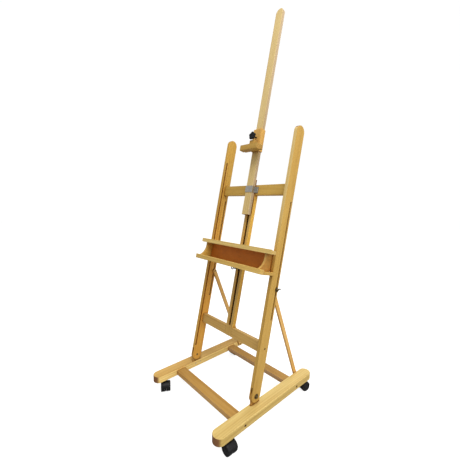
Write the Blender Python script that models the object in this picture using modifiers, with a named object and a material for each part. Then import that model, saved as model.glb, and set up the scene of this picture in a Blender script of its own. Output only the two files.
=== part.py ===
"""Rolling studio easel for canvases.

Metres, +Z up. The origin is on the floor under the middle of the base, +X is to the right of a
painter who faces the easel, and +Y points to the back. Everything above the foot bolts is placed
in the leaning frame: its origin is on the axis of the foot bolts, its local Z runs up the
uprights and its local Y points to the back.
"""
import math

import bmesh
import bpy
from mathutils import Euler, Matrix, Vector

# ---------------------------------------------------------------- driving dimensions
GAP = 0.0003                    # between touching pieces
LEAN = math.radians(12.2)       # uprights from the vertical
ARC_STEPS = 12                  # segments in a half circle
TURN_STEPS = 24                 # segments around a turned piece

# base
BASE_WIDTH = 0.590              # over the rails' outer faces
RAIL_LENGTH = 0.700
RAIL_WIDTH = 0.063
RAIL_HEIGHT = 0.037
CASTER_HEIGHT = 0.062           # floor to the underside of the rails
CROSSBAR_HEIGHT = 0.025
CROSSBAR_LIFT = 0.005           # crossbar above the underside of the rails
CROSSBAR_SPANS = {"front": (-0.222, -0.1675), "rear": (0.172, 0.225)}
RAIL_BOTTOM = CASTER_HEIGHT
RAIL_TOP = RAIL_BOTTOM + RAIL_HEIGHT
RAIL_INNER = BASE_WIDTH / 2 - RAIL_WIDTH
RAIL_MIDDLE = BASE_WIDTH / 2 - RAIL_WIDTH / 2

# casters
CASTER_X = 0.261
CASTER_Y = 0.280
CASTER_TRAIL = 0.0265
WHEEL_RADIUS = 0.026
WHEEL_OUTER = 0.0260            # half width over both wheels
WEB_HALF = 0.0040               # half thickness of the housing's web
WEB_RADIUS = 0.0235             # of the web's disc between the wheels
AXLE_RADIUS = 0.003
KINGPIN_RADIUS = 0.004
KINGPIN_FOOT = 0.045

# leaning frame
PIVOT_Y = -0.080
PIVOT_Z = RAIL_BOTTOM + 0.076
UPRIGHT_WIDTH = 0.061
UPRIGHT_THICK = 0.019
UPRIGHT_INNER = 0.2325
UPRIGHT_OUTER = UPRIGHT_INNER + UPRIGHT_THICK
UPRIGHT_MIDDLE = UPRIGHT_INNER + UPRIGHT_THICK / 2
UPRIGHT_TOP = 1.3245
UPRIGHT_FRONT = -UPRIGHT_WIDTH / 2
FORK_GAP = 0.0070               # slit in the upright's foot
FORK_DEPTH = 0.043
TONGUE_THICK = 0.0064
TONGUE_HALF = 0.030
TONGUE_DEEP = 0.030             # of the mortise in the rail
SLOT_Y = 0.0175
SLOT_WIDTH = 0.009
SLOT_RANGE = (0.365, 0.951)
GROOVE_Y = (-0.0275, -0.0185)
GROOVE_DEEP = 0.0055
GROOVE_RANGE = (0.060, 1.180)

# middle of the leaning frame
POST_HALF = 0.0250
POST_FRONT = -0.0056
POST_BACK = 0.0185
STRETCHER_Z = (0.203, 0.253)
CROSSPIECE_Z = (0.983, 1.038)
STRIP_HALF = 0.0056
STRIP_FRONT = POST_FRONT + 0.0047
STRIP_PITCH = 0.012
STRIP_Z = (0.265, 0.877)
POST_SLOT_HALF = 0.0072
POST_SLOT_DEEP = 0.0102

# mast and its guide
MAST_HALF = 0.0237
MAST_FRONT = -0.0333
MAST_BACK = -0.0129
MAST_Z = (0.870, 2.020)
KEEPER_THICK = 0.002
KEEPER_Z = (0.993, 1.028)
MAST_LOCK_Z = 1.0105

# upper canvas clamp
CLAMP_HALF = 0.0275
CLAMP_Y = (-0.046, -0.0102)
CLAMP_Z = (1.217, 1.338)
CLAMP_SCREW_Z = 1.2885
GRIP_HALF = 0.062
GRIP_Y = (-0.094, -0.0463)
GRIP_Z = (1.209, 1.238)
KNOB_RADIUS = 0.0205

# tray
TRAY_HALF = 0.2605
TRAY_BACK = -0.0313
TRAY_FRONT = -0.123
TRAY_BOTTOM = 0.5855
TRAY_BOARD_THICK = 0.014
LIP_HEIGHT = 0.024
LIP_THICK = 0.013
LEDGE_HALF = 0.2655
LEDGE_FRONT = -0.0855
LEDGE_NOTCH = (0.240, -0.0517)  # cut from its rear corners, to clear the uprights
LEDGE_LIP = (0.006, 0.004)      # depth and height of its front lip
LEDGE_Z = (0.684, 0.706)
CHEEK_THICK = 0.011
CHEEK_OUTER = 0.232
PANEL_THICK = 0.003
LEVER_WIRE = 0.0020
LEVER_PIN = 0.0015
LEVER_PIVOT = (-0.0200, TRAY_BOTTOM - 0.0140)

# braces
BRACE_FOOT_Y = 0.280
BRACE_FOOT_Z = RAIL_BOTTOM + 0.019
BRACE_WIDTH = 0.022
BRACE_THICK = 0.011
BRACE_HEAD_Z = 0.518            # of its head bolt, up the slot
BRACE_OUTER = RAIL_INNER - 0.0004
BOLT_RADIUS = 0.003
HOLE_RADIUS = 0.0034

# orientations: where an outline's or a turned piece's own axes point
SIDE_ON = (math.pi / 2, 0, math.pi / 2)     # outline in the YZ plane, thickness along X
FRONT_ON = (math.pi / 2, 0, 0)              # outline in the XZ plane, thickness along Y
FLAT = (0, 0, 0)                            # outline in the XY plane, thickness along Z
AXIS_X = (0, math.pi / 2, 0)                # turned about X, its top towards +X
AXIS_FRONT = (math.pi / 2, 0, 0)            # turned about Y, its top towards the front


# ---------------------------------------------------------------- scene and materials
def new_collection(name):
    collection = bpy.data.collections.new(name)
    bpy.context.scene.collection.children.link(collection)
    return collection


def material(name, colour, roughness, metallic=0.0):
    made = bpy.data.materials.new(name)
    made.use_nodes = True
    shader = made.node_tree.nodes["Principled BSDF"]
    shader.inputs["Base Color"].default_value = (*colour, 1.0)
    shader.inputs["Roughness"].default_value = roughness
    shader.inputs["Metallic"].default_value = metallic
    return made


for old in list(bpy.data.objects):
    bpy.data.objects.remove(old)
PARTS = new_collection("wooden_artist_easel")
CUTTERS = new_collection("cutters")
BEECH = material("beech", (0.62, 0.43, 0.20), 0.50)
BEECH_DARK = material("beech_shaded", (0.50, 0.30, 0.12), 0.50)
HARDBOARD = material("hardboard", (0.26, 0.085, 0.025), 0.60)
PLASTIC = material("black_plastic", (0.015, 0.015, 0.017), 0.42)
STEEL = material("zinc_plated_steel", (0.45, 0.45, 0.44), 0.35, 1.0)
DARK_STEEL = material("dark_steel", (0.10, 0.09, 0.08), 0.45, 0.9)


# ---------------------------------------------------------------- shapes
def add_object(name, mesh, collection, place, turn, parent):
    made = bpy.data.objects.new(name, mesh)
    collection.objects.link(made)
    made.location = place
    made.rotation_euler = turn
    made.parent = parent
    if collection is CUTTERS:
        made.hide_render = True
        made.display_type = "WIRE"
    return made


def box(name, spans, finish=None, parent=None):
    """Block between (low, high) along each axis, with its origin at its middle."""
    low, high = zip(*spans)
    size = [b - a for a, b in spans]
    middle = [(a + b) / 2 for a, b in zip(low, high)]
    mesh = bpy.data.meshes.new(name)
    work = bmesh.new()
    bmesh.ops.create_cube(work, size=1.0)
    bmesh.ops.scale(work, vec=size, verts=work.verts)
    work.to_mesh(mesh)
    work.free()
    made = add_object(name, mesh, PARTS if finish else CUTTERS, middle, FLAT, parent)
    if finish:
        mesh.materials.append(finish)
    return made


def outline(name, points, thick, place, turn, finish=None, parent=None):
    """Flat closed outline, thick across its plane, made a mesh with its caps welded."""
    curve = bpy.data.curves.new(name, "CURVE")
    curve.dimensions = "2D"
    curve.fill_mode = "BOTH"
    curve.extrude = thick / 2
    spline = curve.splines.new("POLY")
    spline.points.add(len(points) - 1)
    for point, (a, b) in zip(spline.points, points):
        point.co = (a, b, 0.0, 1.0)
    spline.use_cyclic_u = True
    flat = bpy.data.objects.new(name + "_curve", curve)
    PARTS.objects.link(flat)
    bpy.context.view_layer.update()
    mesh = bpy.data.meshes.new_from_object(flat.evaluated_get(bpy.context.evaluated_depsgraph_get()))
    bpy.data.objects.remove(flat)
    work = bmesh.new()
    work.from_mesh(mesh)
    bmesh.ops.remove_doubles(work, verts=work.verts, dist=1e-6)
    bmesh.ops.recalc_face_normals(work, faces=work.faces)
    work.to_mesh(mesh)
    work.free()
    mesh.name = name
    mesh.materials.clear()
    if finish:
        mesh.materials.append(finish)
    return add_object(name, mesh, PARTS if finish else CUTTERS, place, turn, parent)


def turned(name, profile, place, turn, finish=None, parent=None, steps=TURN_STEPS):
    """Solid turned about its own Z from (radius, height) points, run from the top down."""
    mesh = bpy.data.meshes.new(name)
    edges = [(i, i + 1) for i in range(len(profile) - 1)]
    mesh.from_pydata([(radius, 0, height) for radius, height in profile], edges, [])
    made = add_object(name, mesh, PARTS if finish else CUTTERS, place, turn, parent)
    screw = made.modifiers.new("turn", "SCREW")
    screw.steps = steps
    screw.render_steps = steps
    screw.use_merge_vertices = True
    screw.merge_threshold = 0.00001
    screw.use_smooth_shade = False
    if finish:
        mesh.materials.append(finish)
    return made


def rod(name, radius, length, place, turn, finish=None, parent=None, steps=TURN_STEPS):
    """Cylinder from its place up its own Z."""
    profile = [(0, length), (radius, length), (radius, 0), (0, 0)]
    return turned(name, profile, place, turn, finish, parent, steps)


def boolean(target, other, operation):
    change = target.modifiers.new(other.name, "BOOLEAN")
    change.operation = operation
    change.solver = "EXACT"
    change.object = other


def cut(target, *cutters):
    for cutter in cutters:
        boolean(target, cutter, "DIFFERENCE")


def join(target, *others):
    for other in others:
        boolean(target, other, "UNION")


def arc(centre, radius, start, end, steps=ARC_STEPS):
    """Points from the angle start to the angle end, in degrees."""
    turns = [math.radians(start + (end - start) * i / steps) for i in range(steps + 1)]
    return [(centre[0] + radius * math.cos(a), centre[1] + radius * math.sin(a)) for a in turns]


def pill(centre, half_length, radius):
    """Slot outline, long along its second axis, with round ends."""
    a, b = centre
    top = arc((a, b + half_length - radius), radius, 0, 180)
    return top + arc((a, b - half_length + radius), radius, 180, 360)


def sides():
    return (("left", -1), ("right", 1))


def mirrored(sign, near, far):
    """Span along X of a piece that lies from near to far on the given side."""
    return (near, far) if sign > 0 else (-far, -near)


# ---------------------------------------------------------------- base
def base_rail(side, sign):
    radius = RAIL_WIDTH / 2
    end = RAIL_LENGTH / 2 - radius
    shape = arc((0, end), radius, 0, 180) + arc((0, -end), radius, 180, 360)
    place = (sign * RAIL_MIDDLE, 0, RAIL_BOTTOM + RAIL_HEIGHT / 2)
    rail = outline(f"base_rail_{side}", shape, RAIL_HEIGHT, place, FLAT, BEECH)
    mortise = box(f"cut_mortise_{side}", (
        mirrored(sign, UPRIGHT_MIDDLE - TONGUE_THICK / 2 - GAP, UPRIGHT_MIDDLE + TONGUE_THICK / 2 + GAP),
        (PIVOT_Y - TONGUE_HALF - GAP, PIVOT_Y + TONGUE_HALF + GAP),
        (RAIL_TOP - TONGUE_DEEP - GAP, RAIL_TOP + 0.01),
    ))
    cut(rail, mortise)
    brace_hole = rod(f"cut_brace_foot_{side}", HOLE_RADIUS, 0.030,
                     (sign * RAIL_INNER - 0.015 + sign * 0.012, BRACE_FOOT_Y, BRACE_FOOT_Z), AXIS_X)
    cut(rail, brace_hole)
    return rail


def crossbar(row):
    low = RAIL_BOTTOM + CROSSBAR_LIFT
    reach = RAIL_INNER - GAP
    spans = ((-reach, reach), CROSSBAR_SPANS[row], (low, low + CROSSBAR_HEIGHT))
    return box(f"crossbar_{row}", spans, BEECH)


def crossbar_bolt(row, side, sign, rail, bar):
    """Countersunk screw through the rail into the crossbar's end, in a hole with clearance."""
    near, far = CROSSBAR_SPANS[row]
    height = RAIL_BOTTOM + CROSSBAR_LIFT + CROSSBAR_HEIGHT / 2
    place = (sign * (BASE_WIDTH / 2 - 0.002), (near + far) / 2, height)
    turn = (0, sign * math.pi / 2, 0)
    head = 0.0052
    tip = -RAIL_WIDTH - 0.030
    shape = [(0, 0), (head, 0), (BOLT_RADIUS, -0.004), (BOLT_RADIUS, tip), (0, tip)]
    turned(f"crossbar_bolt_{row}_{side}", shape, place, turn, DARK_STEEL, steps=16)
    slack = HOLE_RADIUS
    wide = head + 0.0004
    hole = [(0, 0.004), (wide, 0.004), (wide, -0.0003), (slack, -0.0043), (slack, tip - 0.001),
            (0, tip - 0.001)]
    cutter = turned(f"cut_crossbar_bolt_{row}_{side}", hole, place, turn, steps=16)
    cut(rail, cutter)
    cut(bar, cutter)


def foot_tongue(side, sign):
    drop = PIVOT_Z - RAIL_TOP + TONGUE_DEEP
    shape = arc((0, 0), TONGUE_HALF, 0, 180) + [(-TONGUE_HALF, -drop), (TONGUE_HALF, -drop)]
    place = (sign * UPRIGHT_MIDDLE, PIVOT_Y, PIVOT_Z)
    return outline(f"foot_tongue_{side}", shape, TONGUE_THICK, place, SIDE_ON, BEECH_DARK)


def foot_bolt(side, sign, tongue):
    """Pivot bolt with a washer and a nut, seen from its outer end inwards."""
    outer = UPRIGHT_THICK / 2 + GAP
    shape = [
        (0, outer + 0.0062), (0.0045, outer + 0.0062), (0.0065, outer + 0.0048), (0.0065, outer + 0.0016),
        (0.0100, outer + 0.0016), (0.0100, outer), (BOLT_RADIUS, outer), (BOLT_RADIUS, -outer),
        (0.0085, -outer), (0.0085, -outer - 0.0012), (0.0060, -outer - 0.0012), (0.0060, -outer - 0.0055),
        (0, -outer - 0.0055),
    ]
    place = (sign * UPRIGHT_MIDDLE, PIVOT_Y, PIVOT_Z)
    turned(f"foot_bolt_{side}", shape, place, (0, sign * math.pi / 2, 0), DARK_STEEL)
    cut(tongue, rod(f"cut_tongue_{side}", HOLE_RADIUS, 0.04, (place[0] - 0.02, PIVOT_Y, PIVOT_Z), AXIS_X))


def build_base():
    rails = {side: base_rail(side, sign) for side, sign in sides()}
    for row in CROSSBAR_SPANS:
        bar = crossbar(row)
        for side, sign in sides():
            crossbar_bolt(row, side, sign, rails[side], bar)
    for side, sign in sides():
        foot_bolt(side, sign, foot_tongue(side, sign))


# ---------------------------------------------------------------- casters
def swivel_axis(name, x, y, heading):
    """Empty on the caster's kingpin; its local X is the direction the wheels trail in."""
    made = bpy.data.objects.new(name, None)
    PARTS.objects.link(made)
    made.location = (x, y, 0)
    made.rotation_euler = (0, 0, math.radians(heading))
    return made


def caster_plate(name, axis):
    """Round mounting plate under the rail with the kingpin below it."""
    top = CASTER_HEIGHT - GAP
    shape = [(0, top), (0.019, top), (0.019, top - 0.0025), (KINGPIN_RADIUS, top - 0.0025),
             (KINGPIN_RADIUS, KINGPIN_FOOT), (0, KINGPIN_FOOT)]
    return turned(f"{name}_plate", shape, (0, 0, 0), FLAT, STEEL, axis)


def caster_housing(name, axis):
    """Disc-shaped web between the wheels, a boss for the kingpin and a hood over the wheels' top."""
    hub = (CASTER_TRAIL, WHEEL_RADIUS)
    inner = WHEEL_RADIUS + 0.0008
    outer = WHEEL_RADIUS + 0.0030
    top = CASTER_HEIGHT - 2 * GAP - 0.0025
    boss_foot = KINGPIN_FOOT - 0.0020
    web_shape = [(-0.0055, top), (-0.0055, boss_foot), *arc(hub, WEB_RADIUS, 150, 380, 18),
                 *arc(hub, inner + 0.001, 20, 118, 10), (0.0085, top)]
    web = outline(f"{name}_housing", web_shape, 2 * WEB_HALF, (0, 0, 0), FRONT_ON, PLASTIC, axis)
    hood_shape = arc(hub, outer, 12, 124, 14) + arc(hub, inner, 124, 12, 14)
    hood_wide = 2 * (WHEEL_OUTER - 0.001)
    hood = outline(f"add_hood_{name}", hood_shape, hood_wide, (0, 0, 0), FRONT_ON, None, axis)
    boss = rod(f"add_boss_{name}", 0.0060, top - boss_foot, (0, 0, boss_foot), FLAT, None, axis)
    collar = rod(f"add_collar_{name}", 0.0115, 0.0073, (0, 0, top - 0.0073), FLAT, None, axis)
    join(web, hood, boss, collar)
    pin_foot = (0, 0, KINGPIN_FOOT - 0.0005)
    socket = rod(f"cut_socket_{name}", KINGPIN_RADIUS + GAP, 0.03, pin_foot, FLAT, None, axis)
    bore = rod(f"cut_axle_{name}", AXLE_RADIUS + GAP, 0.03, (CASTER_TRAIL, 0.015, WHEEL_RADIUS),
               AXIS_FRONT, None, axis)
    cut(web, socket, bore)
    return web


def caster_wheels(name, axis):
    """Two wheels and the axle between them, dished outside, turned about the axle."""
    inner = WEB_HALF + 0.0005
    half = [(0, WHEEL_OUTER - 0.002), (0.012, WHEEL_OUTER - 0.002), (0.019, WHEEL_OUTER),
            (WHEEL_RADIUS - 0.0025, WHEEL_OUTER), (WHEEL_RADIUS, WHEEL_OUTER - 0.003),
            (WHEEL_RADIUS, inner + 0.001), (WHEEL_RADIUS - 0.001, inner), (AXLE_RADIUS, inner)]
    shape = half + [(radius, -height) for radius, height in reversed(half)]
    return turned(f"{name}_wheels", shape, (CASTER_TRAIL, 0, WHEEL_RADIUS), AXIS_FRONT, PLASTIC, axis, 32)


def build_casters():
    """Each caster stands as it was left; the heading is where it trails, in degrees from +X."""
    for row, side, sign_x, sign_y, heading in (
        ("front", "left", -1, -1, -29.0), ("front", "right", 1, -1, -3.5),
        ("rear", "left", -1, 1, -90.0), ("rear", "right", 1, 1, 75.0),
    ):
        name = f"caster_{row}_{side}"
        axis = swivel_axis(f"axis_{name}", sign_x * CASTER_X, sign_y * CASTER_Y, heading)
        caster_plate(name, axis)
        caster_housing(name, axis)
        caster_wheels(name, axis)


# ---------------------------------------------------------------- leaning frame
def upright(side, sign, lean):
    radius = UPRIGHT_WIDTH / 2
    shape = arc((0, UPRIGHT_TOP - radius), radius, 0, 180) + arc((0, 0), radius, 180, 360)
    place = (sign * UPRIGHT_MIDDLE, 0, 0)
    piece = outline(f"upright_{side}", shape, UPRIGHT_THICK, place, SIDE_ON, BEECH, lean)
    low, high = SLOT_RANGE
    slot = outline(f"cut_slot_{side}", pill((SLOT_Y, (low + high) / 2), (high - low) / 2, SLOT_WIDTH / 2),
                   0.03, place, SIDE_ON, None, lean)
    groove = box(f"cut_groove_{side}", (
        mirrored(sign, UPRIGHT_INNER - 0.01, UPRIGHT_INNER + GROOVE_DEEP), GROOVE_Y, GROOVE_RANGE,
    ), None, lean)
    fork = box(f"cut_fork_{side}", (
        mirrored(sign, UPRIGHT_MIDDLE - FORK_GAP / 2, UPRIGHT_MIDDLE + FORK_GAP / 2),
        (-0.05, 0.05), (-0.05, FORK_DEPTH),
    ), None, lean)
    pivot_place = (sign * UPRIGHT_MIDDLE - 0.02, 0, 0)
    pivot = rod(f"cut_pivot_{side}", HOLE_RADIUS, 0.04, pivot_place, AXIS_X, None, lean)
    cut(piece, slot, groove, fork, pivot)
    return piece


def stretcher(lean):
    reach = UPRIGHT_INNER - GAP
    piece = box("lower_stretcher", ((-reach, reach), (POST_FRONT, POST_BACK), STRETCHER_Z), BEECH, lean)
    middle = (POST_FRONT + POST_BACK) / 2
    notch = box("cut_stretcher_lap", (
        (-POST_HALF - GAP, POST_HALF + GAP), (POST_FRONT - 0.01, middle + GAP), (0.15, 0.30),
    ), None, lean)
    cut(piece, notch)
    return piece


def stretcher_screw(side, sign, piece, post_upright, lean):
    """Countersunk screw through the upright into the stretcher's end."""
    place = (sign * (UPRIGHT_OUTER - 0.001), (POST_FRONT + POST_BACK) / 2, sum(STRETCHER_Z) / 2)
    turn = (0, sign * math.pi / 2, 0)
    shape = [(0, 0), (0.0042, 0), (0.002, -0.003), (0.002, -0.050), (0, -0.050)]
    turned(f"stretcher_screw_{side}", shape, place, turn, DARK_STEEL, lean, 16)
    hole = [(0, 0.004), (0.0046, 0.004), (0.0046, -0.0003), (0.0024, -0.0033), (0.0024, -0.0505),
            (0, -0.0505)]
    cutter = turned(f"cut_stretcher_screw_{side}", hole, place, turn, None, lean, 16)
    cut(piece, cutter)
    cut(post_upright, cutter)


def upper_crossbar(lean):
    reach = UPRIGHT_INNER - GAP
    piece = box("upper_crossbar", ((-reach, reach), (POST_FRONT, POST_BACK), CROSSPIECE_Z), BEECH, lean)
    half = (-MAST_HALF + GAP, MAST_HALF - GAP)
    pad = box("add_mast_pad", (half, (MAST_BACK + GAP, POST_FRONT - GAP), (0.955, 1.066)), None, lean)
    low, high = CROSSPIECE_Z
    seat = box("add_pad_seat", (half, (POST_FRONT - 0.003, POST_FRONT + 0.003), (low, high)), None, lean)
    join(piece, seat, pad)
    cut(piece, rod("cut_lock_crossbar", HOLE_RADIUS, 0.06, (0, 0.035, MAST_LOCK_Z), AXIS_FRONT, None, lean))
    return piece


def center_post(lean):
    low, high = STRETCHER_Z[1] + GAP, CROSSPIECE_Z[0] - GAP
    half = (-POST_HALF, POST_HALF)
    piece = box("center_post", (half, (POST_FRONT, POST_BACK), (low, high)), BEECH, lean)
    middle = (POST_FRONT + POST_BACK) / 2
    lap = box("add_post_lap", (half, (POST_FRONT, middle), (STRETCHER_Z[0], low + 0.01)), None, lean)
    slot = box("cut_post_slot", (
        (-POST_SLOT_HALF, POST_SLOT_HALF), (POST_FRONT - 0.01, POST_FRONT + POST_SLOT_DEEP),
        (STRIP_Z[0] - 0.004, STRIP_Z[1] + 0.003),
    ), None, lean)
    join(piece, lap)
    cut(piece, slot)
    return piece


def ratchet_strip(lean):
    """Steel strip with saw teeth to the front, at the bottom of the post's slot."""
    low, high = STRIP_Z
    back = POST_FRONT + POST_SLOT_DEEP - GAP
    root = STRIP_FRONT + 0.003
    teeth = int((high - low) / STRIP_PITCH)
    shape = [(back, low), (back, high), (root, high)]
    for tooth in range(teeth, 0, -1):
        top = low + tooth * STRIP_PITCH
        shape += [(root, top - 0.0005), (STRIP_FRONT, top - 0.0015), (STRIP_FRONT, top - 0.0035)]
    shape += [(root, low)]
    return outline("ratchet_strip", shape, 2 * STRIP_HALF, (0, 0, 0), SIDE_ON, DARK_STEEL, lean)


def mast_keeper(lean):
    """Steel keeper that holds the mast against the pad on the upper crossbar."""
    inner = MAST_HALF + 0.0004
    outer = inner + KEEPER_THICK
    front = MAST_FRONT - 0.0004
    back = POST_FRONT - GAP
    foot = outer + 0.018
    half = [(foot, back), (foot, back - KEEPER_THICK), (outer, back - KEEPER_THICK),
            (outer, front - KEEPER_THICK)]
    inside = [(-inner, back), (-inner, front), (inner, front), (inner, back)]
    shape = half + [(-a, b) for a, b in reversed(half)] + inside
    height = KEEPER_Z[1] - KEEPER_Z[0]
    outline("mast_keeper", shape, height, (0, 0, sum(KEEPER_Z) / 2), FLAT, STEEL, lean)


def mast(lean):
    """Flat batten with a round-arched top."""
    low, high = MAST_Z
    shape = arc((0, high - MAST_HALF), MAST_HALF, 0, 180) + [(-MAST_HALF, low), (MAST_HALF, low)]
    place = (0, (MAST_FRONT + MAST_BACK) / 2, 0)
    return outline("canvas_mast", shape, MAST_BACK - MAST_FRONT, place, FRONT_ON, BEECH, lean)


def lobed_outline(radius, lobes=5, per_lobe=10):
    """Star-grip outline: a circle with round lobes."""
    points = []
    for i in range(lobes * per_lobe):
        turn = 2 * math.pi * i / (lobes * per_lobe)
        reach = radius * (0.86 + 0.14 * math.cos(lobes * turn))
        points.append((reach * math.sin(turn), reach * math.cos(turn)))
    return points


def star_knob(name, radius, thick, neck, bolt, place, turn, lean):
    """Star grip on a neck and a bolt; the bolt's tip is at its place and the knob points up its Z."""
    head_at = bolt + neck
    axis = Euler(turn).to_matrix()
    grip_place = Vector(place) + axis @ Vector((0, 0, head_at + thick / 2))
    grip = outline(name, lobed_outline(radius), thick, grip_place, turn, PLASTIC, lean)
    shape = [(0, head_at + 0.003), (0.009, head_at + 0.003), (0.009, bolt), (BOLT_RADIUS, bolt),
             (BOLT_RADIUS, 0), (0, 0)]
    join(grip, turned(f"add_stem_{name}", shape, place, turn, None, lean))
    return grip


def mast_lock(lean):
    """Knob behind the upper crossbar; its bolt presses on the mast's back."""
    tip = MAST_BACK + 0.0004
    length = POST_BACK + 0.0010 - tip
    back_on = (-math.pi / 2, 0, 0)
    star_knob("mast_lock_knob", 0.020, 0.013, 0.007, length, (0, tip, MAST_LOCK_Z), back_on, lean)


# ---------------------------------------------------------------- upper clamp
def clamp(lean):
    body = box("clamp_body", ((-CLAMP_HALF, CLAMP_HALF), CLAMP_Y, CLAMP_Z), BEECH, lean)
    room = 0.0004
    hollow = box("cut_clamp_mast", (
        (-MAST_HALF - room, MAST_HALF + room), (MAST_FRONT - room, MAST_BACK + room), (1.15, 1.40),
    ), None, lean)
    screw_place = (0, MAST_FRONT + 0.005, CLAMP_SCREW_Z)
    screw_hole = rod("cut_clamp_screw", HOLE_RADIUS, 0.03, screw_place, AXIS_FRONT, None, lean)
    cut(body, hollow, screw_hole)
    bar = box("clamp_grip_bar", ((-GRIP_HALF, GRIP_HALF), GRIP_Y, GRIP_Z), BEECH, lean)
    groove = box("cut_canvas_groove", (
        (-GRIP_HALF - 0.01, GRIP_HALF + 0.01), (-0.064, GRIP_Y[1] + 0.01), (1.20, GRIP_Z[0] + 0.005),
    ), None, lean)
    rib_spans = ((-0.017, 0.017), (-0.0735, GRIP_Y[1]), (GRIP_Z[1] - 0.005, 1.267))
    rib = box("add_clamp_rib", rib_spans, None, lean)
    join(bar, rib)
    cut(bar, groove)
    tip = MAST_FRONT - 0.0004
    star_knob("clamp_knob", KNOB_RADIUS, 0.014, 0.008, 0.0285, (0, tip, CLAMP_SCREW_Z), AXIS_FRONT, lean)


# ---------------------------------------------------------------- tray
def tray_board(lean):
    """Bottom board with rounded front corners."""
    round_end = 0.014
    shape = [(TRAY_HALF, TRAY_BACK), (-TRAY_HALF, TRAY_BACK)]
    front = TRAY_FRONT + LIP_THICK + GAP
    shape += [(-TRAY_HALF, front), (TRAY_HALF, front)]
    place = (0, 0, TRAY_BOTTOM + TRAY_BOARD_THICK / 2)
    board = outline("tray_board", shape, TRAY_BOARD_THICK, place, FLAT, BEECH, lean)
    lip_shape = [*arc((-TRAY_HALF + round_end, TRAY_FRONT + round_end), round_end, 184, 270, 6),
                 *arc((TRAY_HALF - round_end, TRAY_FRONT + round_end), round_end, 270, 356, 6)]
    back = TRAY_FRONT + LIP_THICK
    lip_shape += [(TRAY_HALF, back), (-TRAY_HALF, back)]
    outline("tray_lip", lip_shape, LIP_HEIGHT, (0, 0, TRAY_BOTTOM + LIP_HEIGHT / 2), FLAT, BEECH, lean)
    return board


def tray_cheek(side, sign, lean):
    """End of the tray box, with a hollow curved front edge."""
    low = TRAY_BOTTOM + TRAY_BOARD_THICK + GAP
    high = LEDGE_Z[0] - GAP
    top_front = -0.076
    bend = 0.668
    sweep = 0.066
    toe = TRAY_FRONT + LIP_THICK + GAP
    centre = (top_front - sweep, bend)
    end = math.degrees(math.acos((toe - centre[0]) / sweep))
    curve = arc(centre, sweep, 0, -end, 8)
    rear = TRAY_BACK - PANEL_THICK - 2 * GAP
    shape = [(rear, low), (rear, high), (top_front, high), *curve, (toe, low)]
    middle = sign * (CHEEK_OUTER - CHEEK_THICK / 2)
    return outline(f"tray_cheek_{side}", shape, CHEEK_THICK, (middle, 0, 0), SIDE_ON, BEECH, lean)


def tray_guide(side, sign, lean):
    """Batten behind the cheek whose edge runs in the upright's groove."""
    return box(f"tray_guide_{side}", (
        mirrored(sign, 0.2120, UPRIGHT_INNER + GROOVE_DEEP - 0.0006),
        (GROOVE_Y[0] + 0.0008, GROOVE_Y[1] - 0.0025), (TRAY_BOTTOM + 0.018, LEDGE_Z[0] - 0.006),
    ), BEECH_DARK, lean)


def tray(lean):
    tray_board(lean)
    panel_back = TRAY_BACK
    box("tray_back_panel", (
        (-CHEEK_OUTER, CHEEK_OUTER), (panel_back - PANEL_THICK, panel_back),
        (TRAY_BOTTOM + TRAY_BOARD_THICK + GAP, LEDGE_Z[0] - GAP),
    ), HARDBOARD, lean)
    for side, sign in sides():
        tray_cheek(side, sign, lean)
        tray_guide(side, sign, lean)
    canvas_ledge(lean)


def canvas_ledge(lean):
    """Shelf for the canvas's foot with a low lip in front, notched behind where it passes the uprights."""
    low, high = LEDGE_Z
    lip_deep, lip_high = LEDGE_LIP
    notch_x, notch_y = LEDGE_NOTCH
    half = [(LEDGE_HALF, LEDGE_FRONT), (LEDGE_HALF, notch_y), (notch_x, notch_y), (notch_x, TRAY_BACK)]
    shape = half + [(-a, b) for a, b in reversed(half)]
    thick = high - lip_high - low
    shelf = outline("canvas_ledge", shape, thick, (0, 0, low + thick / 2), FLAT, BEECH, lean)
    lip_spans = ((-LEDGE_HALF, LEDGE_HALF), (LEDGE_FRONT, LEDGE_FRONT + lip_deep), (low + thick / 2, high))
    join(shelf, box("add_ledge_lip", lip_spans, None, lean))


def tray_carriage(lean):
    """Cross batten that carries the tray, block on the post, and the keeper behind the post."""
    front = TRAY_BACK + GAP
    low, high = TRAY_BOTTOM + 0.020, TRAY_BOTTOM + 0.088
    rear = GROOVE_Y[1] - 0.0025
    batten = box("tray_cross_batten", ((-0.2115, 0.2115), (front, rear), (low, high)), BEECH_DARK, lean)
    block_spans = ((-0.034, 0.034), (rear - 0.0015, POST_FRONT - 0.0006), (low, high))
    join(batten, box("add_carriage_block", block_spans, None, lean))
    inner = POST_HALF + 0.0006
    outer = 0.034
    far = POST_BACK + 0.0006
    near = POST_FRONT - GAP
    shape = [(outer, near), (outer, far + 0.008), (-outer, far + 0.008), (-outer, near),
             (-inner, near), (-inner, far), (inner, far), (inner, near)]
    height = high - low
    outline("tray_post_keeper", shape, height, (0, 0, (low + high) / 2), FLAT, BEECH_DARK, lean)


def release_bracket(lean):
    """Steel hanger under the cross batten; the lever's pin turns in its legs."""
    top = TRAY_BOTTOM + 0.020 - GAP
    foot = LEVER_PIVOT[1] - 0.0045
    outer, inner = 0.0130, 0.0115
    shape = [(outer, foot), (outer, top), (-outer, top), (-outer, foot), (-inner, foot),
             (-inner, top - 0.0015), (inner, top - 0.0015), (inner, foot)]
    place = (0, LEVER_PIVOT[0], 0)
    bracket = outline("release_bracket", shape, 0.010, place, FRONT_ON, DARK_STEEL, lean)
    hole = rod("cut_release_bracket", LEVER_PIN + 0.0004, 0.04, (-0.02, *LEVER_PIVOT), AXIS_X, None, lean)
    cut(bracket, hole)


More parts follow.
